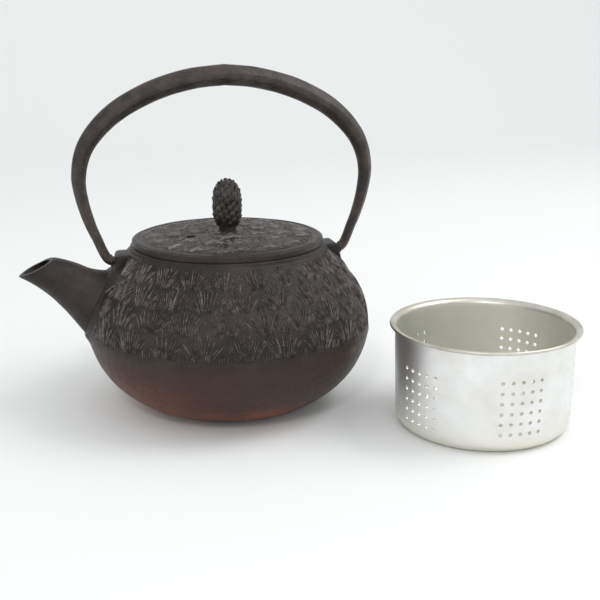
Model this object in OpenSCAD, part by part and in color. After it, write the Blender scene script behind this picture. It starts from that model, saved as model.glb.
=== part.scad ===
// Small cast-iron teapot with a lift-off lid, a swinging bail handle and a
// perforated infuser basket that stands beside it.
// Millimetres. Z is up and the flat base is on z = 0, centred on the origin.
// The spout points to -X. The handle's hinge lies along X.

/* [Pot] */
// Widest radius of the body, at its waist
pot_r = 69.4; // [60:0.5:84]
// Height of the waist, the widest line
waist_z = 39.5; // [32:0.5:50]
// Height of the neck's top face, where the lid rests
neck_z = 80.2; // [66:0.1:96]
// Height of the neck band above the shoulder
neck_h = 2.6; // [1.5:0.1:6]
// Radius of the flat base
base_r = 31.5; // [26:0.5:40]
// Wall thickness of the casting
wall = 3.2; // [2.4:0.1:5]
// Thickness of the pot's floor
floor_t = 4; // [3:0.1:6]
// Ledge at the waist: how far the ground of the relief stands in from it
waist_step = 0.6; // [0:0.1:1.5]
// Wall of the spout, round its bore
spout_wall = 2.3; // [1.6:0.1:3]
// Gap between the spout's top and the handle's hook above it
spout_gap = 1.97; // [1:0.01:6]

/* [Mouth and lid] */
// How far the lid reaches out past the basket's seat
lid_land = 1.7; // [1.2:0.1:6]
// Clearance round the basket's rim in its seat
seat_gap = 0.5; // [0.3:0.1:1.5]
// Depth of that seat
seat_d = 2.2; // [1.6:0.1:4]
// Clearance round the basket's wall in the throat
throat_gap = 0.7; // [0.4:0.1:1.5]
// Thickness of the lid's rim
lid_rim_t = 2.8; // [2:0.1:4]
// Rise of the lid's top from rim to centre
lid_dome = 3.3; // [0.5:0.1:5]
// Thickness of the lid's plate at the centre
lid_plate_t = 3.4; // [2.4:0.1:5]
// Depth of the ring that locates the lid in the basket or the mouth
lid_ring_h = 4.5; // [2:0.1:8]
// Thickness of that ring
lid_ring_t = 2.4; // [1.6:0.1:4]
// Clearance round that ring inside the basket's wall
lid_ring_gap = 1.6; // [0.6:0.1:3]
// Radius of the steam hole
steam_r = 2.3; // [1:0.1:3.5]
// Distance of the steam hole from the lid's axis
steam_at = 21.5; // [12:0.5:30]
// Direction of the steam hole round the lid, from +X
steam_dir = 205; // [0:1:359]

/* [Knob] */
// Widest radius of the pine cone, over its scales
cone_r = 6.9; // [5:0.1:11]
// Height of the pine cone above the lid
cone_h = 25.5; // [16:0.5:36]
// Radius of the shank that passes through the lid
shank_r = 2.5; // [1.5:0.1:4]
// Clearance round the shank in the lid and the washer
shank_gap = 0.05; // [0.02:0.01:0.2]
// Radius of the washer under the lid
washer_r = 7; // [5:0.1:12]
// Thickness of the washer
washer_t = 1; // [0.6:0.1:2]

/* [Handle] */
// How far the handle's centre line bows out past its hooks
bail_bow = 13.1; // [8:0.1:18]
// Height of the handle's centre line above the pins, at the top
bail_rise = 86.1; // [70:0.1:110]
// Thickness of the handle at the top
bail_t = 9.7; // [6:0.1:14]
// Thickness of the handle at its lower ends
bail_end_t = 4.6; // [3.6:0.1:6]
// How far the hinge pins lie below the neck's top face
pin_drop = 6; // [4.5:0.1:9]
// Radius of the hinge pins
pin_r = 2; // [1.4:0.1:3]
// Radial running clearance of a pin in its lug
pin_gap = 0.05; // [0.02:0.01:0.1]
// How far the small collar outside each lug stands out round its pin
collar_step = 0.9; // [0.5:0.1:2]
// Width of each lug, across the hinge
lug_w = 15; // [10:0.5:20]
// How far the lugs' top face lies below the neck's
lug_drop = 2.4; // [1:0.1:3]
// How far a lug stands out of the shoulder, at the handle's low edge
lug_proud = 2.35; // [1.5:0.05:5]
// Gap between a lug's face and the handle's hook
hook_gap = 1.3; // [0.8:0.1:3]

/* [Infuser basket] */
// Outer radius of the basket's rim
basket_r = 44.3; // [36:0.1:54]
// Height of the basket
basket_h = 49; // [36:0.1:60]
// Sheet thickness of the basket
sheet_t = 1; // [0.6:0.1:1.6]
// How far the wall stands in from the rim, at its top
rim_out = 2.5; // [1.5:0.1:5]
// How far the wall tapers in, from top to bottom
basket_taper = 1; // [0:0.1:3]
// Radius of the corner between wall and floor
basket_corner = 6.5; // [3:0.1:10]
// Radius of a strainer hole
hole_r = 0.9; // [0.5:0.05:1.5]
// Columns in each patch of wall holes
hole_cols = 5; // [2:1:7]
// Rows in each patch of wall holes
hole_rows = 6; // [2:1:8]
// Distance between columns, along the wall
col_pitch = 4.6; // [3:0.1:7]
// Distance between rows
row_pitch = 4.85; // [3:0.05:7]
// Height of the lowest row
row_z = 9.3; // [6:0.1:14]
// Directions of the patches round the basket, from +X
patch_dirs = [-90, -25, 40, 124, 203];
// How much higher or lower than that each patch was punched
patch_lift = [0.5, 0.5, 0.5, 0.2, -0.5];
// Holes along each side of the square patch in the floor
floor_holes = 5; // [0:1:7]
// Distance between the holes of that patch
floor_pitch = 5; // [3:0.5:7]
// Direction in which the basket stands, from +X round the pot's axis
basket_dir = -30.4; // [-60:0.1:60]
// Gap between the pot's waist and the basket's rim
basket_gap = 12.7; // [4:0.1:60]

/* [Hidden] */
$fa = 3;
$fs = 0.5;
e = 0.01;
shoulder_z = neck_z - neck_h;             // foot of the neck band
seat_r = basket_r + seat_gap;             // recess for the basket's rim
throat_r = basket_r - rim_out + throat_gap; // passes the basket's wall
lid_r = seat_r + lid_land;                // the lid covers the seat
neck_r = lid_r + 1;                       // the neck is a little wider than the lid
foot_r = neck_r + 1;                      // the neck's foot, where the shoulder starts
ring_out = basket_r - rim_out - sheet_t - lid_ring_gap; // the lid's ring, inside the basket
ring_in = ring_out - lid_ring_t;
lid_top = neck_z + lid_rim_t + lid_dome;  // foot of the knob
lid_under = lid_top - lid_plate_t;        // underside at the centre
peen_h = 1.2;
wall_top_r = basket_r - rim_out;          // basket wall just under the flare
flare_z = basket_h - 2.6;
basket_far = pot_r + basket_gap + basket_r;
basket_at = [basket_far * cos(basket_dir), basket_far * sin(basket_dir)];
pin_z = neck_z - pin_drop;
lug_z = neck_z - lug_drop;
collar_r = pin_r + collar_step;
iron = [0.22, 0.20, 0.20];
steel = [0.55, 0.54, 0.52];
alloy = [0.86, 0.86, 0.85];

// ---- outline of the casting -------------------------------------------

// Share of the swell below the waist, t = 0 at the waist and 1 at the base.
function low_f(t) = pow(max(0, 1 - pow(t, 1.9)), 0.6);
// The same above the waist, t = 1 at the neck.
function high_f(t) = pow(max(0, 1 - pow(t, 2.2)), 1.25);

low_t = [1, 0.985, 0.96, 0.925, 0.88, 0.82, 0.75, 0.67, 0.58, 0.48, 0.37, 0.25, 0.12, 0];
high_t = [0, 0.1, 0.2, 0.3, 0.4, 0.5, 0.6, 0.69, 0.77, 0.84, 0.9, 0.94, 0.97, 0.99, 1];

// Radius of the shoulder at a share of its height, from waist to neck.
function shoulder_f(t) = foot_r + (pot_r - waist_step - foot_r) * high_f(t);

// [radius, height] points up the outside, from base edge to neck.
function outside() = concat(
    [for (t = low_t) [base_r + (pot_r - base_r) * low_f(t), waist_z * (1 - t)]],
    [for (t = high_t) [shoulder_f(t), waist_z + 0.3 + (shoulder_z - waist_z - 0.3) * t]]);

// The same down the inside, from throat to floor.
function inside() = concat(
    [for (i = [len(high_t) - 1:-1:0]) let (t = high_t[i])
        [throat_r + (pot_r - wall - throat_r) * high_f(t),
         waist_z + (shoulder_z - wall - waist_z) * t]],
    [for (i = [len(low_t) - 2:-1:0]) let (t = low_t[i])
        [base_r - 2 + (pot_r - wall - base_r + 2) * low_f(t),
         floor_t + (waist_z - floor_t) * (1 - t)]]);

module body_solid() {
    rotate_extrude()
        polygon(concat([[0, 0]], outside(), [[neck_r, shoulder_z + 1], [neck_r, neck_z],
                                             [0, neck_z]]));
}

module body_cavity() {
    rotate_extrude()
        polygon(concat([[0, neck_z + 1], [seat_r, neck_z + 1], [seat_r, neck_z - seat_d],
                        [throat_r, neck_z - seat_d]], inside(), [[0, floor_t]]));
}

// ---- lofts -------------------------------------------------------------

// Smooth curve through a list of vectors; u runs from 0 to len(v) - 1.
function at(v, i) = v[max(0, min(len(v) - 1, i))];
function curve(v, u) = let (i = min(len(v) - 2, floor(u)), t = u - i,
    a = at(v, i - 1), b = at(v, i), c = at(v, i + 1), d = at(v, i + 2))
    0.5 * (2 * b + (c - a) * t + (2 * a - 5 * b + 4 * c - d) * t * t
           + (3 * b - a - 3 * c + d) * t * t * t);

// Solid through closed rings of the same number of points.
module loft(rings) {
    n = len(rings[0]);
    m = len(rings);
    polyhedron(points = [for (r = rings) for (p = r) p],
        faces = concat(
            [for (k = [0:m - 2]) for (i = [0:n - 1]) let (j = (i + 1) % n)
                [k * n + i, k * n + j, (k + 1) * n + j]],
            [for (k = [0:m - 2]) for (i = [0:n - 1]) let (j = (i + 1) % n)
                [k * n + i, (k + 1) * n + j, (k + 1) * n + i]],
            [[for (i = [n - 1:-1:0]) i]],
            [[for (i = [0:n - 1]) (m - 1) * n + i]]), convexity = 6);
}

// A station of the spout is [low x, low z, high x, high z, half-width], as
// shares: x of the waist's radius, z of a height that keeps its top clear of the hook.
spout_at = [
    [0.86, 0.40, 0.72, 0.86, 0.215],
    [0.975, 0.45, 0.82, 0.868, 0.19],
    [1.043, 0.512, 0.90, 0.872, 0.165],
    [1.110, 0.594, 0.972, 0.888, 0.148],
    [1.178, 0.670, 1.050, 0.921, 0.132],
    [1.270, 0.756, 1.122, 0.945, 0.120],
    [1.360, 0.818, 1.175, 0.959, 0.111],
    [1.440, 0.862, 1.200, 0.961, 0.107]];

spout_h = (pin_z - bail_end_t / 2 - spout_gap) / 0.872;
function oval(s, cut, n) = let (
        lo = [-s[0] * pot_r, s[1] * spout_h], hi = [-s[2] * pot_r, s[3] * spout_h],
        c = (lo + hi) / 2, d = hi - lo, h = norm(d) / 2, u = d / norm(d),
        a = h - cut, b = s[4] * pot_r - cut)
    [for (i = [0:n - 1]) let (w = 360 * i / n)
        [c[0] + u[0] * a * cos(w), -b * sin(w), c[1] + u[1] * a * cos(w)]];

module spout_solid() {
    m = len(spout_at) - 1;
    loft([for (k = [0:3 * m]) oval(curve(spout_at, k / 3), 0, 28)]);
}

// The bore runs on past both ends, so that it opens the mouth and the wall.
module spout_bore() {
    m = len(spout_at) - 1;
    far = spout_at[m] + (spout_at[m] - spout_at[m - 1]) * 0.5;
    near = [0.72, 0.50, 0.66, 0.76, 0.12];
    mid = [0.84, 0.475, 0.76, 0.80, 0.16];
    path = concat([near, mid], [for (k = [1:m]) spout_at[k]], [far]);
    q = len(path) - 1;
    loft([for (k = [0:3 * q]) oval(curve(path, k / 3), spout_wall, 24)]);
}

// ---- lugs and pins ------------------------------------------------------

// Outer face of a lug at the pin's height.
lug_x = shoulder_f((pin_z - bail_end_t / 2 - waist_z - 0.3) / (shoulder_z - waist_z - 0.3)) + lug_proud;
function lug_face(z) = lug_x + (pin_z - z) * 0.18;

module lug_solid() {
    module blade(w, cut) {
        rotate([90, 0, 0]) linear_extrude(height = w, center = true)
            polygon([[neck_r - 5, shoulder_z - 9], [lug_face(shoulder_z - 11), shoulder_z - 11],
                     [lug_face(pin_z), pin_z], [lug_face(lug_z - 2.4) - cut, lug_z - 2.4],
                     [lug_face(lug_z) - 1.8 - cut, lug_z - 0.4 - cut], [lug_face(lug_z) - 4, lug_z - cut],
                     [neck_r - 5, lug_z - cut]]);
    }
    hull() {
        blade(lug_w, 1.4);
        blade(lug_w - 3, 0);
    }
}

module lug_bore() {
    translate([neck_r + 2, 0, pin_z]) rotate([0, 90, 0])
        cylinder(r = pin_r + pin_gap, h = lug_x - neck_r + 1.5);
}

// ---- handle -------------------------------------------------------------

hook_x = lug_x + hook_gap;                // where the handle's end meets its pin
bail_x = hook_x + bail_bow;
bail_z = pin_z + bail_rise;
// A station of the handle is [x, z, thickness, width]. The first is the top.
function arm() = let (w = bail_x, h = bail_rise, t = bail_t, s = bail_end_t, k = hook_x, b = bail_bow)
    [[0, bail_z, t, t + 1.6], [0.2 * w, pin_z + 0.985 * h, t, t + 1.6],
     [0.4 * w, pin_z + 0.946 * h, t, t + 1.4], [0.576 * w, pin_z + 0.889 * h, t, t + 1.1],
     [0.736 * w, pin_z + 0.814 * h, t - 0.3, t + 0.7], [0.868 * w, pin_z + 0.718 * h, t - 0.9, t - 0.1],
     [0.96 * w, pin_z + 0.606 * h, t - 1.9, t - 1.0], [w, pin_z + 0.461 * h, t - 3, t - 1.9],
     [k + 0.893 * b, pin_z + 0.322 * h, t - 3.9, t - 2.5], [k + 0.67 * b, pin_z + 0.205 * h, s + 0.5, t - 2.9],
     [k + 0.446 * b, pin_z + 0.121 * h, s + 0.1, s + 1.9], [k + 0.297 * b, pin_z + 0.062 * h, s, s + 1.7],
     [k + 0.147 * b, pin_z + 0.018 * h, s, s + 1.5], [k, pin_z, s, s + 1.3]];

// Ring of the handle at a station: thickness across the path, width along Y.
// Its four sides are flat and its corners are broad bevels.
function bar_ring(p, d, n) = let (u = [-d[1], d[0]] / norm(d))
    [for (i = [0:n - 1]) let (w = 360 * (i + 0.5) / n,
        c = sign(cos(w)) * pow(abs(cos(w)), 0.72), s = sign(sin(w)) * pow(abs(sin(w)), 0.72))
        [p[0] + u[0] * p[2] / 2 * c, p[3] / 2 * s, p[1] + u[1] * p[2] / 2 * c]];

module bail() {
    a = arm();
    m = len(a) - 1;
    steps = 4;
    half = [for (k = [0:steps * m]) curve(a, k / steps)];
    path = concat([for (k = [steps * m:-1:1]) [-half[k][0], half[k][1], half[k][2], half[k][3]]], half);
    q = len(path) - 1;
    loft([for (k = [0:q]) let (d = k == 0 ? [-1, 0] : k == q ? [-1, 0] : path[k + 1] - path[k - 1])
        bar_ring(path[k], k == 0 ? [-1, 0] : [d[0], d[1]], 16)]);
    for (s = [-1, 1]) translate([0, 0, pin_z]) rotate([0, s * 90, 0]) {
        translate([0, 0, neck_r + 3]) cylinder(r = pin_r, h = hook_x - neck_r - 2.5);
        translate([0, 0, hook_x - 0.5]) cylinder(r = collar_r, h = 0.9);
    }
}

// ---- nodes --------------------------------------------------------------

module pot_body() {
    color(iron) difference() {
        union() {
            body_solid();
            spout_solid();
            lug_solid();
            mirror([1, 0, 0]) lug_solid();
        }
        body_cavity();
        spout_bore();
        lug_bore();
        mirror([1, 0, 0]) lug_bore();
    }
}

module lid() {
    steps = 8;
    color(iron) difference() {
        rotate_extrude() polygon(concat(
            [[0, lid_under], [washer_r + 1, lid_under], [ring_in, neck_z + 0.4],
             [ring_in, neck_z - lid_ring_h],
             [ring_out - 0.4, neck_z - lid_ring_h], [ring_out, neck_z - lid_ring_h + 0.4],
             [ring_out, neck_z], [lid_r - 0.5, neck_z], [lid_r, neck_z + 0.5],
             [lid_r, neck_z + lid_rim_t - 0.8], [lid_r - 0.8, neck_z + lid_rim_t]],
            [for (i = [steps - 1:-1:0]) let (r = (lid_r - 0.8) * i / steps)
                [r, neck_z + lid_rim_t + lid_dome * (1 - pow(i / steps, 2))]]));
        translate([0, 0, lid_under - 5]) cylinder(r = shank_r + shank_gap, h = 20);
        translate([steam_at * cos(steam_dir), steam_at * sin(steam_dir), neck_z - 5])
            cylinder(r = steam_r, h = 20);
    }
}

// Radius of the cone over its scales; t = 0 at the lid and 1 at the tip.
function cone_f(t) = (0.74 + 0.26 * sin(90 * max(0, min(1, (t - 0.06) / 0.3)))) *
    pow(max(0, 1 - pow(max(0, (t - 0.5) / 0.5), 2.8)), 0.6);

module lid_knob() {
    tiers = 8;
    per = 8;
    color(iron) union() {
        rotate_extrude() polygon(concat(
            [[0, lid_under - washer_t - peen_h], [shank_r - 0.5, lid_under - washer_t - peen_h],
             [shank_r + 0.9, lid_under - washer_t - 0.3], [shank_r + 0.9, lid_under - washer_t],
             [shank_r, lid_under - washer_t], [shank_r, lid_top]],
            [for (t = [0, 0.05, 0.1, 0.16, 0.22, 0.3, 0.4, 0.5, 0.6, 0.7, 0.78, 0.86, 0.92, 0.97])
                [(cone_r - 0.9) * cone_f(t), lid_top + (cone_h - 0.6) * t]],
            [[0, lid_top + cone_h]]));
        for (k = [0:tiers - 1]) let (t = 0.17 + 0.76 * k / (tiers - 1), r = cone_r * cone_f(t),
                                     m = k > 5 ? 5 : per)
            for (i = [0:m - 1]) rotate([0, 0, 360 * (i + (k % 2) / 2) / m])
                translate([r - 1.5, 0, lid_top + cone_h * t]) rotate([0, 68 - 70 * t, 0])
                    cylinder(r1 = 1.1, r2 = 1.9, h = 1.6, $fn = 24, center = true);
    }
}

module knob_washer() {
    color(steel) translate([0, 0, lid_under - washer_t]) difference() {
        cylinder(r = washer_r, h = washer_t);
        translate([0, 0, -e]) cylinder(r = shank_r + shank_gap, h = washer_t + 2 * e);
    }
}

module bail_handle() {
    color(iron) bail();
}

// Radius of the basket's outside at a height, below the flare.
function basket_f(z) = wall_top_r - basket_taper * (1 - z / flare_z);

module basket_shell() {
    c = basket_corner;
    k = sheet_t;
    lip = 0.75;
    low = basket_f(c);
    rotate_extrude() polygon(concat(
        [[0, 0]],
        [for (w = [-90:15:0]) [low - c + c * cos(w), c + c * sin(w)]],
        [[wall_top_r, flare_z], [wall_top_r + 0.25, flare_z + 0.5],
         [wall_top_r + 0.8, flare_z + 0.95], [basket_r - lip, basket_h - 2 * lip]],
        [for (w = [-75:30:105]) [basket_r - lip + lip * cos(w), basket_h - lip + lip * sin(w)]],
        [[wall_top_r + 0.5, basket_h - 0.45], [wall_top_r - k + 0.6, basket_h - 1],
         [wall_top_r - k + 0.15, flare_z + 0.7], [wall_top_r - k, flare_z]],
        [for (w = [0:-15:-90]) [low - c + (c - k) * cos(w), c + (c - k) * sin(w)]],
        [[0, k]]));
}

module infuser_basket() {
    col_step = col_pitch / (basket_f(basket_h / 2)) * 180 / PI;
    color(alloy) translate([basket_at[0], basket_at[1], 0]) difference() {
        basket_shell();
        for (p = [0:len(patch_dirs) - 1], i = [0:hole_cols - 1], j = [0:hole_rows - 1])
            rotate([0, 0, patch_dirs[p] + (i - (hole_cols - 1) / 2) * col_step])
                translate([wall_top_r - 7, 0, row_z + patch_lift[p] + j * row_pitch])
                    rotate([0, 90, 0]) cylinder(r = hole_r, h = 12);
        if (floor_holes > 0)
            for (i = [0:floor_holes - 1], j = [0:floor_holes - 1])
                translate([(i - (floor_holes - 1) / 2) * floor_pitch,
                           (j - (floor_holes - 1) / 2) * floor_pitch, -1])
                    cylinder(r = hole_r, h = sheet_t + 2);
    }
}

pot_body();
lid();
lid_knob();
knob_washer();
bail_handle();
infuser_basket();
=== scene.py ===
# %% [markdown]
# # An iron teapot and its infuser basket
#
# The pot is one rough iron casting: a squat bowl, a short spout and two lugs.
# Its shoulder carries rows of pine-needle fans, and the lid's knob is a pine
# cone. A smooth iron bail swings on pins in the lugs. The infuser is a thin
# aluminium cup with patches of punched holes, standing beside the pot.
#
# The frame comes first. It fixes where every body is and how it moves, and
# each surface below is worked out to sit on it.

import math

import bmesh
import bpy
import numpy as np
from mathutils import Matrix, Vector


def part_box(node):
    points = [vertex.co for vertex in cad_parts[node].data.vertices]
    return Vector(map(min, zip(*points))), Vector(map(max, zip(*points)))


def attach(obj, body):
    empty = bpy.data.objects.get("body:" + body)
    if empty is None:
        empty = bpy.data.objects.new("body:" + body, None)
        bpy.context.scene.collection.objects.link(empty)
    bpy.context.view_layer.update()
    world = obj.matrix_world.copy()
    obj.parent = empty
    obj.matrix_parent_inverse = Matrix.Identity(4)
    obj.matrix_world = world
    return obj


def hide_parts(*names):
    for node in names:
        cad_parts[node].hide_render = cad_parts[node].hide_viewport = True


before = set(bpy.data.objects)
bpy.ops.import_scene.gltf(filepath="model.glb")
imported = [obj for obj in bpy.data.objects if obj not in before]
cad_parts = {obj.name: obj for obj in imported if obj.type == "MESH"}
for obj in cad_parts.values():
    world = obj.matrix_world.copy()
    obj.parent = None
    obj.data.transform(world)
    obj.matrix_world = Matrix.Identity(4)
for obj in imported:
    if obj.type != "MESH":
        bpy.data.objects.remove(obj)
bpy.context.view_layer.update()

MM = 0.001
TURN = 2 * math.pi
pot_lo, pot_hi = (np.array(c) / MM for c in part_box("pot_body"))
lid_lo, lid_hi = (np.array(c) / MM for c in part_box("lid"))
cone_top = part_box("lid_knob")[1].z / MM
bail_hi = np.array(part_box("bail_handle")[1]) / MM
basket_lo, basket_hi = (np.array(c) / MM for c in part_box("infuser_basket"))
print("pot", pot_lo.round(1), pot_hi.round(1))

# %% [markdown]
# ## From a grid of points to a mesh
#
# Every piece is a surface worked out with numpy: a grid of points in
# millimetres, one array for the whole surface. Neighbouring points make a
# quad. Corners that fall on the same place are welded, which closes the seam
# of a turned surface and turns its poles into triangles. A closed shell made of
# several skins is easily wound two ways at once, so after the welding Blender
# works out which side of every face is the outside.


# %% Grids, welding and pieces
def quads_of(grid, wrap_u=False, wrap_v=False):
    """Quads between neighbours of a (u, v, 3) grid; a wrapped side joins up with its start."""
    g = np.concatenate([grid, grid[:1]], 0) if wrap_u else grid
    g = np.concatenate([g, g[:, :1]], 1) if wrap_v else g
    corners = [g[:-1, :-1], g[1:, :-1], g[1:, 1:], g[:-1, 1:]]
    return np.stack(corners, 2).reshape(-1, 4, 3)


def weld(quads):
    """Points, corner numbers and corner counts of quads whose equal corners became one."""
    points = quads.reshape(-1, 3)
    _, first, number = np.unique(
        np.round(points * 1e4).astype(np.int64), axis=0, return_index=True, return_inverse=True
    )
    faces = number.reshape(-1, 4)
    keep = faces != np.roll(faces, -1, 1)
    faces, keep = faces[keep.sum(1) > 2], keep[keep.sum(1) > 2]
    return points[first], faces[keep], keep.sum(1)


def face_outwards(mesh):
    """Turns the faces of every closed shell outwards, once its doubles are merged."""
    shell = bmesh.new()
    shell.from_mesh(mesh)
    bmesh.ops.recalc_face_normals(shell, faces=shell.faces)
    shell.to_mesh(mesh)
    shell.free()


def piece(name, shells, body, material, smooth=40):
    """One object from closed shells of quads in millimetres, riding on a body of the frame."""
    points, corners, counts = weld(np.concatenate(shells))
    mesh = bpy.data.meshes.new(name)
    mesh.vertices.add(len(points))
    mesh.vertices.foreach_set("co", (points * MM).astype(np.float32).ravel())
    mesh.loops.add(len(corners))
    mesh.loops.foreach_set("vertex_index", corners.astype(np.int32))
    mesh.polygons.add(len(counts))
    starts = np.concatenate([[0], np.cumsum(counts)[:-1]])
    mesh.polygons.foreach_set("loop_start", starts.astype(np.int32))
    mesh.update(calc_edges=True)
    mesh.validate()
    face_outwards(mesh)
    mesh.polygons.foreach_set("use_smooth", np.ones(len(counts), bool))
    mesh.set_sharp_from_angle(angle=math.radians(smooth))
    obj = bpy.data.objects.new(name, mesh)
    bpy.context.scene.collection.objects.link(obj)
    mesh.materials.append(material)
    if body:
        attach(obj, body)
    triangles = int((counts - 2).sum())
    print(f"{name}: {len(points)} points, {triangles} triangles")
    return obj


# %% [markdown]
# ## Small tools for shapes
#
# Three helpers serve all the pieces. A smooth curve through a few stations
# gives lofts their flow. Turning a profile round an upright axis gives the
# bowl and the cup. Value noise, a grid of random numbers blended smoothly,
# keeps a casting from looking machined.


# %% Curves, turned surfaces and noise
def smooth_rows(rows, per):
    """Catmull-Rom curve through the rows of a table, with `per` steps between two rows."""
    v = np.array(rows, float)
    v = np.concatenate([v[:1], v, v[-1:]])
    t = np.linspace(0, 1, per, endpoint=False)[None, :, None]
    a, b, c, d = (v[i:len(v) - 3 + i][:, None] for i in range(4))
    curve = 0.5 * (2 * b + (c - a) * t + (2 * a - 5 * b + 4 * c - d) * t**2
                   + (3 * b - a - 3 * c + d) * t**3)
    return np.concatenate([curve.reshape(-1, v.shape[1]), v[-1:]])


def turned(radius, height, around, at=(0, 0)):
    """Profile (radius, height) turned about the upright axis through `at`."""
    angle = np.linspace(0, TURN, around, endpoint=False)[:, None]
    x = at[0] + radius[None] * np.cos(angle)
    y = at[1] + radius[None] * np.sin(angle)
    return np.stack([x, y, np.broadcast_to(height, x.shape)], -1)


def noise(points, cell, seed=0):
    """Value noise from -1 to 1: random numbers on a lattice of that cell size, blended between."""
    p = points / cell
    base = np.floor(p).astype(np.int64)
    f = p - base
    f = f * f * (3 - 2 * f)
    total = 0
    for corner in np.ndindex(2, 2, 2):
        q = base + np.array(corner)
        h = (q[..., 0] * 73856093) ^ (q[..., 1] * 19349663) ^ (q[..., 2] * 83492791) ^ (seed * 9176)
        h = (h ^ (h >> 13)) * 1274126177
        value = ((h ^ (h >> 16)) & 0xFFFF) / 32767.5 - 1
        weight = np.prod(np.where(np.array(corner) == 1, f, 1 - f), -1)
        total = total + value * weight
    return total


# %% [markdown]
# ## Finishes shared by the iron
#
# Cast iron keeps the grain of the sand it was poured in, under a thin dark
# lacquer. A node group gives that grain as a height, and a mask of the spots
# where the lacquer has gone. It is used by the pot, the lid, the knob and the
# handle, each with its own values, so it is built once.


# %% A node group for the grain
def add_node(tree, kind, **settings):
    """A node with its settings; a name that starts with in_ sets the input of that name."""
    node = tree.nodes.new(kind)
    for key, value in settings.items():
        if key.startswith("in_"):
            node.inputs[key[3:].replace("_", " ")].default_value = value
        else:
            setattr(node, key, value)
    return node


def ramp(tree, source, low, high, color_low=(0, 0, 0, 1), color_high=(1, 1, 1, 1)):
    """A colour ramp that rises from `low` to `high` of its source."""
    node = tree.nodes.new("ShaderNodeValToRGB")
    first, last = node.color_ramp.elements
    first.position, last.position = low, high
    first.color, last.color = color_low, color_high
    tree.links.new(source, node.inputs["Fac"])
    return node.outputs["Color"]


def grain_group():
    """Sand grain: fine noise and a coarser one added as a height, and worn spots as a mask."""
    tree = bpy.data.node_groups.new("sand grain", "ShaderNodeTree")
    face = tree.interface
    for name, value in (("Grain Scale", 900.0), ("Pit Scale", 300.0), ("Wear Scale", 60.0)):
        face.new_socket(name, in_out="INPUT", socket_type="NodeSocketFloat").default_value = value
    for name in ("Height", "Wear"):
        face.new_socket(name, in_out="OUTPUT", socket_type="NodeSocketFloat")
    enter, leave = tree.nodes.new("NodeGroupInput"), tree.nodes.new("NodeGroupOutput")
    where = tree.nodes.new("ShaderNodeTexCoord").outputs["Object"]
    fine = add_node(tree, "ShaderNodeTexNoise", in_Detail=3.0, in_Roughness=0.6)
    pits = add_node(tree, "ShaderNodeTexVoronoi", feature="SMOOTH_F1")
    wear = add_node(tree, "ShaderNodeTexNoise", in_Detail=5.0, in_Roughness=0.65)
    for node, socket in ((fine, "Grain Scale"), (pits, "Pit Scale"), (wear, "Wear Scale")):
        tree.links.new(where, node.inputs["Vector"])
        tree.links.new(enter.outputs[socket], node.inputs["Scale"])
    both = add_node(tree, "ShaderNodeMath", operation="MULTIPLY_ADD")
    tree.links.new(pits.outputs["Distance"], both.inputs[0])
    both.inputs[1].default_value = 0.6
    tree.links.new(fine.outputs["Fac"], both.inputs[2])
    tree.links.new(both.outputs[0], leave.inputs["Height"])
    tree.links.new(wear.outputs["Fac"], leave.inputs["Wear"])
    return tree


GRAIN = grain_group()
print("grain group:", [item.name for item in GRAIN.interface.items_tree])

# %% [markdown]
# ## The iron itself
#
# The iron is dark and slightly brown. Where hands and cloths have rubbed the
# lacquer, it is lighter and a little glossier, and low on the side by the
# spout it has turned to a red-brown rust. The stain is placed by the piece's
# own coordinates, so it stays with the metal. The needle ridges on the
# shoulder and the lid get lighter tones still: partly wear on the raised
# metal, partly a painted highlight for the light the ridges catch.


# %% Iron
def principled(name):
    """A new material, its node tree and its Principled shader."""
    material = bpy.data.materials.new(name)
    material.use_nodes = True
    return material, material.node_tree, material.node_tree.nodes["Principled BSDF"]


def mix(tree, factor, a, b):
    """Colour mix; a and b are colours or sockets."""
    node = add_node(tree, "ShaderNodeMix", data_type="RGBA")
    tree.links.new(factor, node.inputs["Factor"])
    for value, socket in ((a, node.inputs[6]), (b, node.inputs[7])):
        if isinstance(value, tuple):
            socket.default_value = value
        else:
            tree.links.new(value, socket)
    return node.outputs[2]


def cloud(tree, scale, detail=5.0, roughness=0.62):
    """Soft noise on the piece's own coordinates."""
    where = tree.nodes.new("ShaderNodeTexCoord").outputs["Object"]
    node = add_node(tree, "ShaderNodeTexNoise", in_Scale=scale, in_Detail=detail, in_Roughness=roughness)
    tree.links.new(where, node.inputs["Vector"])
    return node.outputs["Fac"]


def remap(tree, source, low, high, to_low, to_high, kind="LINEAR"):
    """A value carried from the range low..high to the range to_low..to_high."""
    node = add_node(tree, "ShaderNodeMapRange", interpolation_type=kind, in_From_Min=low,
                    in_From_Max=high, in_To_Min=to_low, in_To_Max=to_high)
    tree.links.new(source, node.inputs["Value"])
    return node.outputs["Result"]


def raised(tree, height, strength):
    """The normal of a bump whose full height is 0.4 mm."""
    node = add_node(tree, "ShaderNodeBump", in_Strength=strength, in_Distance=0.0004)
    tree.links.new(height, node.inputs["Height"])
    return node.outputs["Normal"]


def iron(name, dark, worn, roughness, bump, rust=None, grain=(900.0, 300.0, 60.0), shine=0.5):
    """Lacquered cast iron: two tones mixed by wear, sand grain as a bump, and an optional stain."""
    material, tree, shader = principled(name)
    group = add_node(tree, "ShaderNodeGroup", node_tree=GRAIN)
    for socket, value in zip(("Grain Scale", "Pit Scale", "Wear Scale"), grain):
        group.inputs[socket].default_value = value
    wear = ramp(tree, group.outputs["Wear"], 0.42, 0.66)
    color = mix(tree, wear, dark, worn)
    if rust:
        color = stain(tree, color, rust)
    tree.links.new(color, shader.inputs["Base Color"])
    shader.inputs["Specular IOR Level"].default_value = shine
    rough = remap(tree, group.outputs["Height"], 0.3, 1.1, roughness + 0.1, roughness - 0.08)
    tree.links.new(rough, shader.inputs["Roughness"])
    tree.links.new(raised(tree, group.outputs["Height"], bump), shader.inputs["Normal"])
    return material


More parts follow.
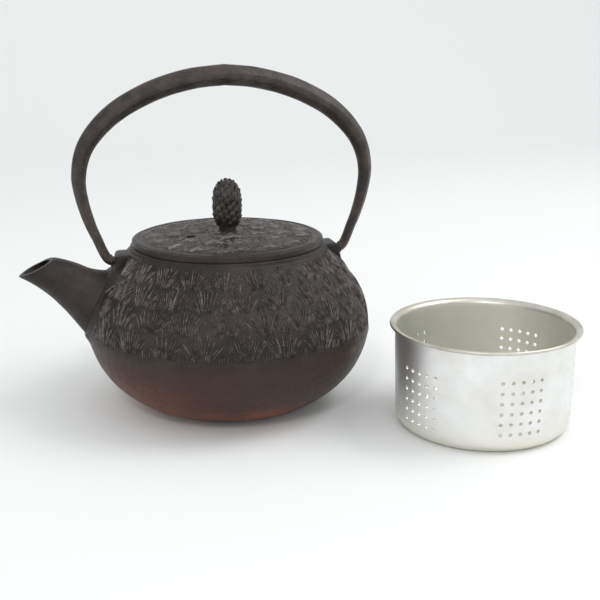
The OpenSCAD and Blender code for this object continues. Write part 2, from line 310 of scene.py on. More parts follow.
def masked(tree, axis, low, high):
    """Mask that falls smoothly from 1 to 0 as a coordinate of the piece goes from low to high (metres)."""
    where = tree.nodes.new("ShaderNodeTexCoord").outputs["Object"]
    parts = tree.nodes.new("ShaderNodeSeparateXYZ")
    tree.links.new(where, parts.inputs[0])
    return remap(tree, parts.outputs[axis], low, high, 1.0, 0.0, "SMOOTHSTEP")


def times(tree, a, b):
    """Product of two masks, or of a mask and a number."""
    node = add_node(tree, "ShaderNodeMath", operation="MULTIPLY")
    for value, socket in ((a, node.inputs[0]), (b, node.inputs[1])):
        if isinstance(value, float):
            socket.default_value = value
        else:
            tree.links.new(value, socket)
    return node.outputs[0]


def stain(tree, color, tone):
    """Brown below the waist, a rusty bloom low on the spout's side, and redder rust along the foot."""
    patches = ramp(tree, cloud(tree, 55.0), 0.36, 0.62)
    color = mix(tree, times(tree, masked(tree, "Z", 0.034, 0.043), 0.75), color, (0.038, 0.017, 0.011, 1))
    side = masked(tree, "X", -0.062, 0.000)
    bloom = times(tree, times(tree, side, masked(tree, "Z", 0.012, 0.036)), 0.8)
    foot = times(tree, times(tree, masked(tree, "Z", 0.003, 0.018), masked(tree, "X", -0.010, 0.055)),
                 patches)
    color = mix(tree, bloom, color, tone)
    return mix(tree, foot, color, (0.24, 0.055, 0.020, 1))


pot_iron = iron("pot iron", (0.011, 0.0075, 0.0065, 1), (0.034, 0.023, 0.019, 1), 0.44, 1.0,
                rust=(0.135, 0.036, 0.016, 1), shine=0.34)
# The shoulder's needles are a lighter copy of the pot's iron: partly wear on the raised ridges, partly a
# painted highlight standing in for the light they catch.
needle_wear_and_painted_highlight = iron("needle wear and painted highlight", (0.046, 0.036, 0.034, 1), (0.200, 0.172, 0.168, 1), 0.26, 0.4,
                   grain=(900.0, 300.0, 420.0))
lid_iron = iron("lid iron", (0.022, 0.016, 0.014, 1), (0.042, 0.031, 0.027, 1), 0.40, 0.8, shine=0.25)
# The lid's needles and veins are a lighter copy of the lid's iron: partly wear on the raised ridges, partly
# a painted highlight standing in for the light they catch.
lid_needle_wear_and_painted_highlight = iron("lid needle wear and painted highlight", (0.08, 0.070, 0.064, 1), (0.26, 0.237, 0.228, 1), 0.30, 0.35,
                       grain=(900.0, 300.0, 420.0))
cone_iron = iron("cone iron", (0.013, 0.010, 0.009, 1), (0.064, 0.050, 0.043, 1), 0.34, 0.5,
                 grain=(900.0, 300.0, 260.0), shine=0.42)
bail_iron = iron("bail iron", (0.018, 0.013, 0.011, 1), (0.058, 0.042, 0.036, 1), 0.36, 1.0,
                 grain=(900.0, 300.0, 110.0), shine=0.42)
enamel = iron("inside enamel", (0.012, 0.012, 0.012, 1), (0.016, 0.015, 0.015, 1), 0.25, 0.05)
print("iron finishes:", [m.name for m in bpy.data.materials])

# %% [markdown]
# ## The bowl
#
# The bowl is turned: a profile swells from the flat base to the waist, draws
# in to the neck, and comes back down inside as the cavity. The waist has a
# small step, because the relief above it is proud of the smooth band below.
# One profile carried round the axis makes outside and inside in one closed
# skin. The outside is then moved by soft noise, and raised into a skirt round
# the spout and the lugs, as the sand mould's fillets do.

# %% The bowl's outline
POT_R = (pot_hi[1] - pot_lo[1]) / 2
NECK_Z = pot_hi[2]
LID_R = (lid_hi[1] - lid_lo[1]) / 2
NECK_R = LID_R + 1.0
FOOT_R = NECK_R + 1.0
WAIST_Z, WAIST_STEP, BASE_R = 39.5, 0.6, 31.5
SHOULDER_Z = NECK_Z - 2.6
WALL, FLOOR_T = 3.2, 4.0
BASKET_R = (basket_hi[0] - basket_lo[0]) / 2
SEAT_R, SEAT_D = BASKET_R + 0.5, 2.2
THROAT_R = BASKET_R - 1.8


def lower_swell(t):
    """Share of the swell below the waist: t is 0 at the waist and 1 at the base."""
    return np.maximum(0, 1 - t**1.9) ** 0.6


def upper_swell(t):
    """Share of the swell above the waist: t is 0 at the waist and 1 at the neck."""
    return np.maximum(0, 1 - t**2.2) ** 1.25


def spaced(n, power=2.4):
    """n steps from 0 to 1 that crowd together towards 1, where the outline turns fastest."""
    return 1 - (1 - np.linspace(0, 1, n)) ** power


up = spaced(60)
shoulder_r = FOOT_R + (POT_R - WAIST_STEP - FOOT_R) * upper_swell(up)
shoulder_z = WAIST_Z + 0.3 + (SHOULDER_Z - WAIST_Z - 0.3) * up
# The waist is a soft belt: the step above it is rounded, and a low swelling runs below.
shoulder_r = shoulder_r + WAIST_STEP * np.exp(-((shoulder_z - WAIST_Z) / 1.0) ** 2)
down = spaced(44)[::-1]
belly_r = BASE_R + (POT_R - BASE_R) * lower_swell(down)
belly_z = WAIST_Z * (1 - down)
belly_r = belly_r + 0.3 * np.exp(-((belly_z - WAIST_Z + 2.4) / 1.3) ** 2)
# How far along the shoulder each point is, from the waist up.
shoulder_s = np.concatenate([[0], np.cumsum(np.hypot(np.diff(shoulder_r), np.diff(shoulder_z)))])
SHOULDER_LENGTH = shoulder_s[-1]
print("shoulder length", round(SHOULDER_LENGTH, 1), "mm")

# %% The bowl's whole profile, outside then inside
inner_up = spaced(16)[::-1]
inner_top_z = SHOULDER_Z - WALL
outside = [(np.array([0, 16.0, BASE_R - 0.8]), np.zeros(3)), (belly_r, belly_z + 0.25 * (belly_z < 0.3)),
           (shoulder_r, shoulder_z),
           (NECK_R + np.array([0.6, 0.3, 0.1, 0, 0, -0.5]),
            np.array([SHOULDER_Z + 0.35, SHOULDER_Z + 0.75, SHOULDER_Z + 1.2, SHOULDER_Z + 1.8,
                      NECK_Z - 0.5, NECK_Z]))]
inside = [(np.array([SEAT_R + 0.3, SEAT_R, SEAT_R, THROAT_R + 0.3, THROAT_R]),
           np.array([NECK_Z, NECK_Z - 0.3, NECK_Z - SEAT_D, NECK_Z - SEAT_D, NECK_Z - SEAT_D - 0.3])),
          (THROAT_R + (POT_R - WALL - THROAT_R) * upper_swell(inner_up),
           WAIST_Z + (inner_top_z - WAIST_Z) * inner_up),
          (BASE_R - 2 + (POT_R - WALL - BASE_R + 2) * lower_swell(spaced(18)[1:]),
           FLOOR_T + (WAIST_Z - FLOOR_T) * (1 - spaced(18)[1:])),
          (np.array([15.0, 0]), np.array([FLOOR_T, FLOOR_T]))]
profile_r = np.concatenate([r for r, z in outside + inside])
profile_z = np.concatenate([z for r, z in outside + inside])
outside_count = sum(len(r) for r, z in outside)
bowl = turned(profile_r, profile_z, 440)
print("bowl grid", bowl.shape)

# %% Fillets and unevenness of the casting
SPOUT_ROOT = (54.0, 17.0, 13.0)      # height of its middle, and half its height and width
LUG_Z, LUG_W = NECK_Z - 2.4, 15.0


def skirts(p):
    """Height of the fillets: full at the foot of the spout or a lug, and fading outwards."""
    side = np.abs(p[..., 0])
    spout = np.hypot((p[..., 2] - SPOUT_ROOT[0]) / SPOUT_ROOT[1], p[..., 1] / SPOUT_ROOT[2])
    spout = np.where(p[..., 0] < 0, 2.0 * np.exp(-np.maximum(0, spout - 0.95) * 6.5), 0)
    reach = np.hypot(np.maximum(0, np.abs(p[..., 1]) - LUG_W / 2 + 1), np.maximum(0, 52 - side) * 0.4)
    lug = 1.3 * np.exp(-reach / 2.6) * np.exp(-np.maximum(0, 68 - p[..., 2]) / 4) * (side > 42)
    return spout + lug * (p[..., 2] < 76)


def uneven(p):
    """Soft lumps of the sand mould, in millimetres."""
    return 0.16 * noise(p, 14, 1) + 0.07 * noise(p, 4.5, 2)


skin = bowl[:, :outside_count]
flat = np.hypot(skin[..., 0], skin[..., 1])
lift = uneven(skin) + skirts(skin)
lift = lift * np.clip(skin[..., 2] / 6, 0, 1) * np.clip((NECK_Z - 1 - skin[..., 2]) / 3, 0, 1)
bowl[:, :outside_count, :2] *= (1 + lift / np.maximum(flat, 1))[..., None]
print("the casting's skin moves", lift.min().round(2), "to", lift.max().round(2), "mm")

# %% [markdown]
# ## The spout and the lugs
#
# The spout is a loft: ovals that lean over and shrink from the root to the
# slanting mouth. The bore is a second, smaller loft that is cut out. The lugs
# are blocks with soft corners, and each has a hole for a pin of the handle.
# A superellipse power on a ball's own formula squares it up into such a
# block. A boolean joins them to the bowl and cuts the bores, because on the
# real pot all of this is one piece of iron.

# %% Spout
# The handle's hook passes over the root, so the spout's heights are shares of SPOUT_H,
# which keeps the gap between them. The root's top is at 0.872 of it.
END_T, PIN_Z, HOOK_TO_SPOUT = 4.6, NECK_Z - 6.0, 1.97
SPOUT_H = (PIN_Z - END_T / 2 - HOOK_TO_SPOUT) / 0.872
# Stations from root to mouth: low x, low z, high x, high z, half-width.
SPOUT = np.array([
    [0.86, 0.40, 0.72, 0.86, 0.215],
    [0.975, 0.45, 0.82, 0.868, 0.19],
    [1.043, 0.512, 0.90, 0.872, 0.165],
    [1.110, 0.594, 0.972, 0.888, 0.148],
    [1.178, 0.670, 1.050, 0.921, 0.132],
    [1.270, 0.756, 1.122, 0.945, 0.120],
    [1.360, 0.818, 1.175, 0.959, 0.111],
    [1.440, 0.862, 1.200, 0.961, 0.107]]) * np.array([POT_R, SPOUT_H, POT_R, SPOUT_H, POT_R])


def ovals(stations, inset, around):
    """Leaning ovals: an ellipse between the low and high points, less an inset, at each station."""
    low = np.stack([-stations[:, 0], 0 * stations[:, 0], stations[:, 1]], -1)
    high = np.stack([-stations[:, 2], 0 * stations[:, 0], stations[:, 3]], -1)
    middle, half = (low + high) / 2, (high - low) / 2
    length = np.linalg.norm(half, axis=1, keepdims=True)
    half = half / length * (length - np.reshape(inset, (-1, 1)))
    width = (stations[:, 4] - inset)[:, None]
    angle = np.linspace(0, TURN, around, endpoint=False)
    ring = middle[:, None] + half[:, None] * np.cos(angle)[None, :, None]
    ring[..., 1] += width * np.sin(angle)
    return ring


def capped(rings):
    """A loft of rings with both ends closed to their middle, as a closed shell."""
    ends = [np.broadcast_to(r.mean(0), r.shape)[None] for r in (rings[0], rings[-1])]
    return quads_of(np.concatenate([ends[0], rings, ends[1]]), wrap_v=True)


stations = smooth_rows(SPOUT, 10)
inset = np.zeros(len(stations))
last = stations[-1] + (stations[-1] - stations[-2]) * 0.6
stations = np.concatenate([stations, [last]])
inset = np.concatenate([inset, [0.5]])
spout = ovals(stations, inset, 96)
spout += np.array([0, 0.12, 0.12]) * noise(spout, 5, 3)[..., None]

bore_path = np.concatenate([[[0.72, 0.50, 0.66, 0.76, 0.12], [0.84, 0.475, 0.76, 0.80, 0.16]]
                            * np.array([POT_R, SPOUT_H, POT_R, SPOUT_H, POT_R]), SPOUT[1:],
                            SPOUT[-1:] + (SPOUT[-1:] - SPOUT[-2:-1]) * 0.5])
SPOUT_WALL = 2.3
bore = ovals(smooth_rows(bore_path, 6), np.full(6 * (len(bore_path) - 1) + 1, SPOUT_WALL), 64)
print("spout:", len(stations), "rings, reaching x", spout[..., 0].min().round(1), "mm")


# %% Lugs
PIN_R = 2.0
LUG_X = NECK_R + 7.9


def lug_block(side):
    """A lug: slices across the hinge of one rounded outline, shrunk at both faces to soften them."""
    face = LUG_X + 0.18 * (PIN_Z - LUG_Z)
    turn = np.radians(np.linspace(0, 90, 9))
    corner = np.stack([face - 2.2 + 2.2 * np.cos(turn), LUG_Z - 2.2 + 2.2 * np.sin(turn)], -1)
    outline = np.concatenate([[[LUG_X + 0.18 * (PIN_Z - 66), 66.0], [face + 1.0, LUG_Z - 6.0]], corner,
                              [[NECK_R - 1.2, LUG_Z], [NECK_R - 1.2, 66.0]]])
    y = np.array([-1, -0.985, -0.93, -0.8, 0, 0.8, 0.93, 0.985, 1]) * LUG_W / 2
    shrink = np.array([1.3, 0.75, 0.3, 0, 0, 0, 0.3, 0.75, 1.3])
    middle = np.array([NECK_R + 1, 70.0])
    away = outline - middle
    away /= np.linalg.norm(away, axis=1, keepdims=True)
    flat = outline[None] - shrink[:, None, None] * away[None]
    rings = np.stack([side * flat[..., 0], y[:, None] + 0 * flat[..., 0], flat[..., 1]], -1)
    return capped(rings)


def rod(x0, x1, radius, z, around=32):
    """A round bar along X as a closed shell."""
    angle = np.linspace(0, TURN, around, endpoint=False)
    ring = np.stack([0 * angle, radius * np.cos(angle), z + radius * np.sin(angle)], -1)
    return capped(np.stack([ring + np.array([x, 0, 0]) for x in (x0, x1)]))


print("pins at z", PIN_Z, "mm, lug faces about", round(LUG_X, 1), "mm from the axis")


# %% Join the casting
pot = piece("pot_shell", [quads_of(bowl, wrap_u=True)], "pot", pot_iron)
spout_tool = piece("spout", [capped(spout)], None, pot_iron)
lug_tools = [piece("lug", [lug_block(s)], None, pot_iron) for s in (-1, 1)]
cut_tools = [piece("bore", [capped(bore)], None, pot_iron)]
cut_tools += [piece("pin hole", [rod(s * (NECK_R + 2), s * (LUG_X + 3), PIN_R + 0.15, PIN_Z)],
                    None, pot_iron) for s in (-1, 1)]
for tool, operation in [(t, "UNION") for t in [spout_tool] + lug_tools] + \
                       [(t, "DIFFERENCE") for t in cut_tools]:
    step = pot.modifiers.new(tool.name, "BOOLEAN")
    step.operation, step.solver, step.object = operation, "MANIFOLD", tool
joined = bpy.data.meshes.new_from_object(pot.evaluated_get(bpy.context.evaluated_depsgraph_get()))
pot.modifiers.clear()
pot.data = joined
for tool in [spout_tool] + lug_tools + cut_tools:
    bpy.data.objects.remove(tool)
joined.polygons.foreach_set("use_smooth", np.ones(len(joined.polygons), bool))
joined.set_sharp_from_angle(angle=math.radians(50))
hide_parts("pot_body")
print("pot_shell joined:", len(joined.polygons), "faces")

# %% Give the inside its enamel
centres = np.zeros(len(joined.polygons) * 3, np.float32)
joined.polygons.foreach_get("center", centres)
centres = centres.reshape(-1, 3) / MM
ring = np.hypot(centres[:, 0], centres[:, 1])
skin_r = np.interp(centres[:, 2], np.concatenate([belly_z, shoulder_z, [NECK_Z]]),
                   np.concatenate([belly_r, shoulder_r, [NECK_R]]))
is_inside = (ring < skin_r - 1.6) & (centres[:, 2] > 2) & (centres[:, 2] < NECK_Z - 1)
joined.materials.clear()
joined.materials.append(pot_iron)
joined.materials.append(enamel)
joined.polygons.foreach_set("material_index", is_inside.astype(np.int32))
print("enamelled faces:", int(is_inside.sum()))

# %% [markdown]
# ## Pine-needle relief
#
# Each fan is about fifteen raised needles that spread from a short line. A
# needle is a thin half-round ridge laid on the surface, tapering to its ends.
# Bump maps can't hold such a ridge against the light at the edge of the bowl,
# so they are real geometry: a path on the surface, with a six-sided section
# carried along it. All the needles are worked out together, in one array.


# %% Ridges on a surface
SECTION = np.array([[-1, -0.1], [-0.62, 0.72], [0, 1], [0.62, 0.72], [1, -0.1], [0, -0.5]])


def ridges(path, normal, width, height):
    """Closed ridges: a six-sided section set across each path, shrinking to a point at both ends."""
    along = np.gradient(path, axis=1)
    across = np.cross(normal, along)
    across /= np.linalg.norm(across, axis=-1, keepdims=True)
    t = np.linspace(0, 1, path.shape[1])
    body = np.sqrt(np.clip(1 - (2 * t - 1) ** 6, 0, 1))
    body[[0, -1]] = 0
    w = (width[:, None] * body)[..., None, None]
    h = (height[:, None] * body)[..., None, None]
    x, y = SECTION[:, 0][None, None, :, None], SECTION[:, 1][None, None, :, None]
    grid = path[:, :, None] + across[:, :, None] * x * w + normal[:, :, None] * y * h
    return np.concatenate([quads_of(g, wrap_v=True) for g in grid])


def on_shoulder(angle, s):
    """Point and outward normal on the bowl's shoulder, at an angle and a distance up from the waist."""
    r, z = np.interp(s, shoulder_s, shoulder_r), np.interp(s, shoulder_s, shoulder_z)
    dr = np.interp(s + 0.5, shoulder_s, shoulder_r) - np.interp(s - 0.5, shoulder_s, shoulder_r)
    dz = np.interp(s + 0.5, shoulder_s, shoulder_z) - np.interp(s - 0.5, shoulder_s, shoulder_z)
    size = np.hypot(dr, dz)
    p = np.stack([r * np.cos(angle), r * np.sin(angle), z], -1)
    n = np.stack([dz / size * np.cos(angle), dz / size * np.sin(angle), -dr / size], -1)
    grow = uneven(p) + skirts(p)
    return p + n * grow[..., None], n


# %% Lay the fans on the shoulder
ROWS, FANS, NEEDLES = 4, 23, 15
FAN_PITCH = (SHOULDER_LENGTH - 1.2) / ROWS
dice = np.random.default_rng(7)
row, fan, needle = (a.ravel() for a in np.meshgrid(
    np.arange(ROWS), np.arange(FANS), np.arange(NEEDLES + 4), indexing="ij"))
fan_turn = dice.normal(0, 0.012, (ROWS, FANS))[row, fan]
fan_angle = (fan + 0.5 * (row % 2)) / FANS * TURN + fan_turn
short = needle >= NEEDLES
half_pitch = math.pi * POT_R / FANS
spread = np.where(short, 0.0, (needle - (NEEDLES - 1) / 2) / ((NEEDLES - 1) / 2))
# A fan's feet stand along a short line. The short needles fill the gap to the next fan.
foot_x = np.where(short, half_pitch + (needle - NEEDLES - 1.5) * 1.25, 4.2 * spread) \
    + dice.normal(0, 0.12, len(row))
foot_s = 0.5 + row * FAN_PITCH + 0.5 * spread**2 + dice.uniform(0, 0.5, len(row))
lean = np.radians(31) * spread + dice.normal(0, 0.05, len(row))
length = np.where(short, 5.0 - 0.8 * np.abs(needle - NEEDLES - 1.5), FAN_PITCH * (1.17 - 0.30 * spread**2)) \
    * (1 + dice.normal(0, 0.06, len(row)))
room = np.interp(foot_s + 6, shoulder_s, shoulder_r) / POT_R
t = np.linspace(0, 1, 7)
bend = lean[:, None] * (0.80 + 0.4 * t)
s = np.minimum(foot_s[:, None] + length[:, None] * t * np.cos(bend), SHOULDER_LENGTH - 0.3)
angle = fan_angle[:, None] + (foot_x[:, None] + length[:, None] * t * np.sin(bend)) * room[:, None] \
    / np.interp(s, shoulder_s, shoulder_r)
path, normal = on_shoulder(angle, s)
width = 0.18 * (1 + dice.normal(0, 0.12, len(row)))
height = 0.44 * (1 + dice.normal(0, 0.22, len(row)))
# Needles under the spout or the lugs are left out.
middle = path[:, 3]
under_spout = (middle[:, 0] < 0) & (np.hypot((middle[:, 2] - SPOUT_ROOT[0]) / 20,
                                             middle[:, 1] / 16.5) < 1)
under_lug = (np.abs(middle[:, 1]) < LUG_W / 2 + 3) & (middle[:, 2] > 60)
shown = ~(under_spout | under_lug)
piece("pot_needles", [ridges(path[shown], normal[shown], width[shown], height[shown])],
      "pot", needle_wear_and_painted_highlight, smooth=60)

# %% [markdown]
# ## The lid
#
# The lid is a flat disc with a slightly raised edge, a ring beneath that
# locates it in the mouth, and a steam hole off to one side. A turned grid
# can't have such a hole. Here the grid's inner circle is the hole itself, and
# its circles slide and grow from the hole to the rim, so top, rim, underside
# and the hole's wall are one skin with no pole at all.

# %% Lid
RIM_T, DOME, PLATE_T = 2.8, 3.3, 3.4
LID_TOP, RIM_TOP, RIM_UNDER = lid_hi[2], NECK_Z + RIM_T, NECK_Z
STEAM_R = 2.3
steam = 21.5 * np.array([math.cos(math.radians(205)), math.sin(math.radians(205))])
RING_OUT = BASKET_R - 5.1
RING_IN = RING_OUT - 2.4


def lid_height(x, y):
    """Top of the lid: a shallow dome, with a flat border and a bead along the edge."""
    r = np.hypot(x, y)
    dome = RIM_TOP + DOME * (1 - (r / LID_R) ** 2)
    bead = 0.4 * np.exp(-((r - LID_R + 1.8) / 0.55) ** 2)
    return dome - 0.25 * np.exp(-((r - LID_R + 4.6) / 1.6) ** 2) + bead


def sliding_circles(steps, outer_r):
    """Circles from the steam hole (0) to a circle about the axis (1): centre and radius both slide."""
    k = np.asarray(steps)[None, :, None]
    angle = np.linspace(0, TURN, 384, endpoint=False)[:, None]
    way = np.stack([np.cos(angle), np.sin(angle)], -1)
    return (1 - k) * (steam + STEAM_R * way) + k * outer_r * way


def plain_circles(radii):
    """Circles about the axis, one for each radius."""
    angle = np.linspace(0, TURN, 384, endpoint=False)[:, None]
    return np.stack([np.cos(angle), np.sin(angle)], -1) * np.asarray(radii)[None, :, None]


def with_height(flat, height):
    """Circles in the plane given their height."""
    height = np.broadcast_to(height, flat.shape[:2])
    return np.concatenate([flat, height[..., None]], -1)


top_in = sliding_circles(np.linspace(0, 1, 40), LID_R - 6)
top_out = plain_circles(np.linspace(LID_R - 5.6, LID_R - 0.5, 14))
edge = plain_circles([LID_R - 0.12, LID_R, LID_R, LID_R - 0.12, LID_R - 0.5])
edge_z = np.array([RIM_TOP - 0.2, RIM_TOP - 0.6, RIM_UNDER + 0.6, RIM_UNDER + 0.15, RIM_UNDER])
under = plain_circles([RING_OUT + 0.3, RING_OUT, RING_OUT, RING_OUT - 0.4, RING_IN + 0.4, RING_IN, RING_IN])
under_z = np.array([RIM_UNDER, RIM_UNDER - 0.3, NECK_Z - 4.1, NECK_Z - 4.5, NECK_Z - 4.5,
                    NECK_Z - 4.1, NECK_Z + 0.4])
under_in = sliding_circles([0.66, 0.33, 0], RING_IN)
under_in_r = np.hypot(under_in[..., 0], under_in[..., 1])
lid_under = LID_TOP - PLATE_T
lid_skin = np.concatenate([
    with_height(top_in, lid_height(top_in[..., 0], top_in[..., 1])),
    with_height(top_out, lid_height(top_out[..., 0], top_out[..., 1])),
    with_height(edge, edge_z), with_height(under, under_z),
    with_height(under_in, lid_under - (lid_under - NECK_Z - 0.4) * under_in_r / RING_IN)], 1)
top_count = top_in.shape[1] + top_out.shape[1]
lid_skin[:, 1:top_count, 2] += 0.10 * noise(lid_skin[:, 1:top_count], 7, 5)
lid = piece("lid_disc", [quads_of(lid_skin, wrap_u=True, wrap_v=True)], "lid", lid_iron)
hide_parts("lid")


# %% Fans and fine veins on the lid
def on_lid(x, y):
    """Point and normal on the lid's top."""
    z = lid_height(x, y)
    dx = lid_height(x + 0.3, y) - lid_height(x - 0.3, y)
    dy = lid_height(x, y + 0.3) - lid_height(x, y - 0.3)
    n = np.stack([-dx / 0.6, -dy / 0.6, np.ones_like(x)], -1)
    return np.stack([x, y, z], -1), n / np.linalg.norm(n, axis=-1, keepdims=True)


def lid_fans(foot_r, fans, needles, reach, offset):
    """Needle paths of one ring of fans that open towards the middle of the lid."""
    fan, needle = (a.ravel() for a in np.meshgrid(np.arange(fans), np.arange(needles), indexing="ij"))
    spread = (needle - (needles - 1) / 2) / ((needles - 1) / 2)
    lean = np.radians(46) * spread + dice.normal(0, 0.04, len(fan))
    angle = (fan + offset) / fans * TURN + dice.normal(0, 0.03, fans)[fan]
    length = reach * (1 + dice.normal(0, 0.08, len(fan)))
    t = np.linspace(0, 1, 6)
    far = 1.0 + (length[:, None] - 1.0) * t
    way = angle[:, None] + math.pi + lean[:, None] * (0.85 + 0.25 * t)
    x = foot_r * np.cos(angle)[:, None] + far * np.cos(way)
    y = foot_r * np.sin(angle)[:, None] + far * np.sin(way)
    return x, y


rings = [lid_fans(42.0, 17, 15, 12.0, 0.1), lid_fans(31.0, 13, 15, 11.5, 0.55),
         lid_fans(20.5, 9, 13, 10.0, 0.2)]
count = 1500
vein_r, vein_a = 41 * np.sqrt(dice.uniform(0.03, 1, count)), dice.uniform(0, TURN, count)
vein_way, vein_len = dice.uniform(0, TURN, count), dice.uniform(0.8, 2.0, count)
along = np.linspace(-0.5, 0.5, 6)[None]
curl = dice.uniform(-0.7, 0.7, count)[:, None] * along
vein_x = (vein_r * np.cos(vein_a))[:, None] + vein_len[:, None] * along * np.cos(vein_way[:, None] + curl)
vein_y = (vein_r * np.sin(vein_a))[:, None] + vein_len[:, None] * along * np.sin(vein_way[:, None] + curl)
x = np.concatenate([ring[0] for ring in rings] + [vein_x])
y = np.concatenate([ring[1] for ring in rings] + [vein_y])
clear = (np.hypot(x - steam[0], y - steam[1]).min(1) > STEAM_R + 0.6) & (np.hypot(x, y).min(1) > 5.6)
path, normal = on_lid(x[clear], y[clear])
size = 1 + dice.normal(0, 0.15, len(path))
piece("lid_needles", [ridges(path, normal, 0.13 * size, 0.30 * size)],
      "lid", lid_needle_wear_and_painted_highlight, smooth=60)

# %% [markdown]
# ## The pine-cone knob
#
# A pine cone's scales sit on a spiral that turns by the golden angle at each
# step. The knob is a turned core with such a spiral of small shields, each
# hooked outwards at its upper tip. A shield is a polar patch: three rings on
# the outside and a point behind it, so it has only forty faces.

# %% Knob
CONE_H, CONE_R = cone_top - LID_TOP, 6.9


def cone_radius(t):
    """Radius of the cone at a share of its height: a narrow neck, a full middle and a blunt tip."""
    neck = 0.74 + 0.26 * np.sin(np.clip((t - 0.06) / 0.3, 0, 1) * math.pi / 2)
    return CONE_R * neck * (1 - np.clip((t - 0.5) / 0.5, 0, 1) ** 2.8) ** 0.6


SCALES = 96
k = np.arange(SCALES)
scale_t = 0.11 + 0.85 * (k + 0.5) / SCALES
scale_a = k * math.pi * (3 - math.sqrt(5))
r = cone_radius(scale_t) - 0.8
slope = (cone_radius(scale_t + 0.01) - cone_radius(scale_t - 0.01)) / (0.02 * CONE_H)
around = np.stack([-np.sin(scale_a), np.cos(scale_a), 0 * scale_a], -1)
away = np.stack([np.cos(scale_a), np.sin(scale_a), 0 * scale_a], -1)
upward = away * slope[:, None] + np.array([0, 0, 1.0])
upward /= np.linalg.norm(upward, axis=1, keepdims=True)
normal = np.cross(around, upward)
foot = away * r[:, None] + np.array([0, 0, 1.0]) * (LID_TOP + CONE_H * scale_t)[:, None]
shrink = np.clip(cone_radius(scale_t) / CONE_R, 0.42, 1)[:, None, None]
phi = np.linspace(0, TURN, 10, endpoint=False)
rho = np.array([0.0, 0.45, 0.8, 1.0, 0.0])[:, None]
side = 1.85 * rho * np.sin(phi) * (1 - 0.25 * np.cos(phi))
rise = 2.3 * rho * np.cos(phi)
proud = np.array([0.95, 0.85, 0.55, 0.05, -1.0])[:, None] + 0.20 * rise * (rho > 0) \
    + 0.25 * np.exp(-(side / 0.5) ** 2) * (rho > 0) * (rho < 1)
shields = foot[:, None, None] + shrink[..., None] * (
    side[None, ..., None] * around[:, None, None] + rise[None, ..., None] * upward[:, None, None]
    + proud[None, ..., None] * normal[:, None, None])
shells = np.concatenate([quads_of(sh, wrap_v=True) for sh in shields])
t = np.linspace(0, 1, 40)
core_r = np.concatenate([[0, 2.5, 3.4, 3.4, 2.5, 2.5, 5.6], np.maximum(cone_radius(t) - 0.8, 0.3), [0]])
core_z = np.concatenate([[lid_under - 2.2, lid_under - 2.2, lid_under - 1.3, lid_under - 1.0,
                          lid_under - 1.0, LID_TOP - 0.3, LID_TOP - 0.2],
                         LID_TOP + (CONE_H - 0.6) * t, [LID_TOP + CONE_H - 0.1]])
core = quads_of(turned(core_r, core_z, 48), wrap_u=True)
knob = piece("pine_cone", [core, shells], "lid", cone_iron)
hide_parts("lid_knob")

# %% [markdown]
# ## The bail
#
# The handle was forged from flat-sided bar: thick on top, thin at the ends,
# with bevelled edges, and hooked inwards into the lugs. Its section is a soft
# octagon. The radius in each direction comes from eight flat sides blended
# with a high power, which rounds the corners but keeps the sides flat.

# %% Bail
w, h = bail_hi[0] - 3.35, bail_hi[2] - 4.85 - PIN_Z
BAIL_T = 9.7
HOOK_X = LUG_X + 1.3
bow = w - HOOK_X
# Stations from the top down one side: x, z, thickness, width.
BAIL = [[0, PIN_Z + h, BAIL_T, BAIL_T + 1.6], [0.2 * w, PIN_Z + 0.985 * h, BAIL_T, BAIL_T + 1.6],
        [0.4 * w, PIN_Z + 0.946 * h, BAIL_T, BAIL_T + 1.4],
        [0.576 * w, PIN_Z + 0.889 * h, BAIL_T, BAIL_T + 1.1],
        [0.736 * w, PIN_Z + 0.814 * h, BAIL_T - 0.3, BAIL_T + 0.7],
        [0.868 * w, PIN_Z + 0.718 * h, BAIL_T - 0.9, BAIL_T - 0.1],
        [0.96 * w, PIN_Z + 0.606 * h, BAIL_T - 1.9, BAIL_T - 1.0],
        [w, PIN_Z + 0.461 * h, BAIL_T - 3, BAIL_T - 1.9],
        [HOOK_X + 0.893 * bow, PIN_Z + 0.322 * h, BAIL_T - 3.9, BAIL_T - 2.5],
        [HOOK_X + 0.67 * bow, PIN_Z + 0.205 * h, END_T + 0.5, BAIL_T - 2.9],
        [HOOK_X + 0.446 * bow, PIN_Z + 0.121 * h, END_T + 0.1, END_T + 1.9],
        [HOOK_X + 0.297 * bow, PIN_Z + 0.062 * h, END_T, END_T + 1.7],
        [HOOK_X + 0.147 * bow, PIN_Z + 0.018 * h, END_T, END_T + 1.5],
        [HOOK_X, PIN_Z, END_T, END_T + 1.3]]


def octagon(angle, bevel=0.9, power=16):
    """Distance to a soft octagon: each side's reach in that direction, blended by a high power."""
    sides = np.arange(8) * math.pi / 4
    reach = np.where(np.arange(8) % 2, bevel, 1.0)
    facing = np.maximum(0, np.cos(angle[:, None] - sides[None])) / reach
    return (facing**power).sum(1) ** (-1 / power)


half = smooth_rows(BAIL, 9)
arch = np.concatenate([half[:0:-1] * np.array([-1, 1, 1, 1]), half])
tangent = np.gradient(arch[:, :2], axis=0)
tangent[[0, -1]] = [-1, 0]      # both ends run level into the lugs
tangent /= np.linalg.norm(tangent, axis=1, keepdims=True)
across = np.stack([-tangent[:, 1], tangent[:, 0]], -1)
angle = np.linspace(0, TURN, 40, endpoint=False)
octo = octagon(angle)
outwards = (arch[:, 2:3] / 2) * (octo * np.cos(angle))[None]
sideways = (arch[:, 3:4] / 2) * (octo * np.sin(angle))[None]
bar = np.stack([arch[:, :1] + across[:, :1] * outwards, sideways,
                arch[:, 1:2] + across[:, 1:] * outwards], -1)
bar += (0.14 * noise(bar, 9, 8) + 0.06 * noise(bar, 3, 9))[..., None] * np.array([0.7, 1, 0.7])
pins = [rod(s * (NECK_R + 3), s * (HOOK_X + 0.5), PIN_R, PIN_Z) for s in (-1, 1)]
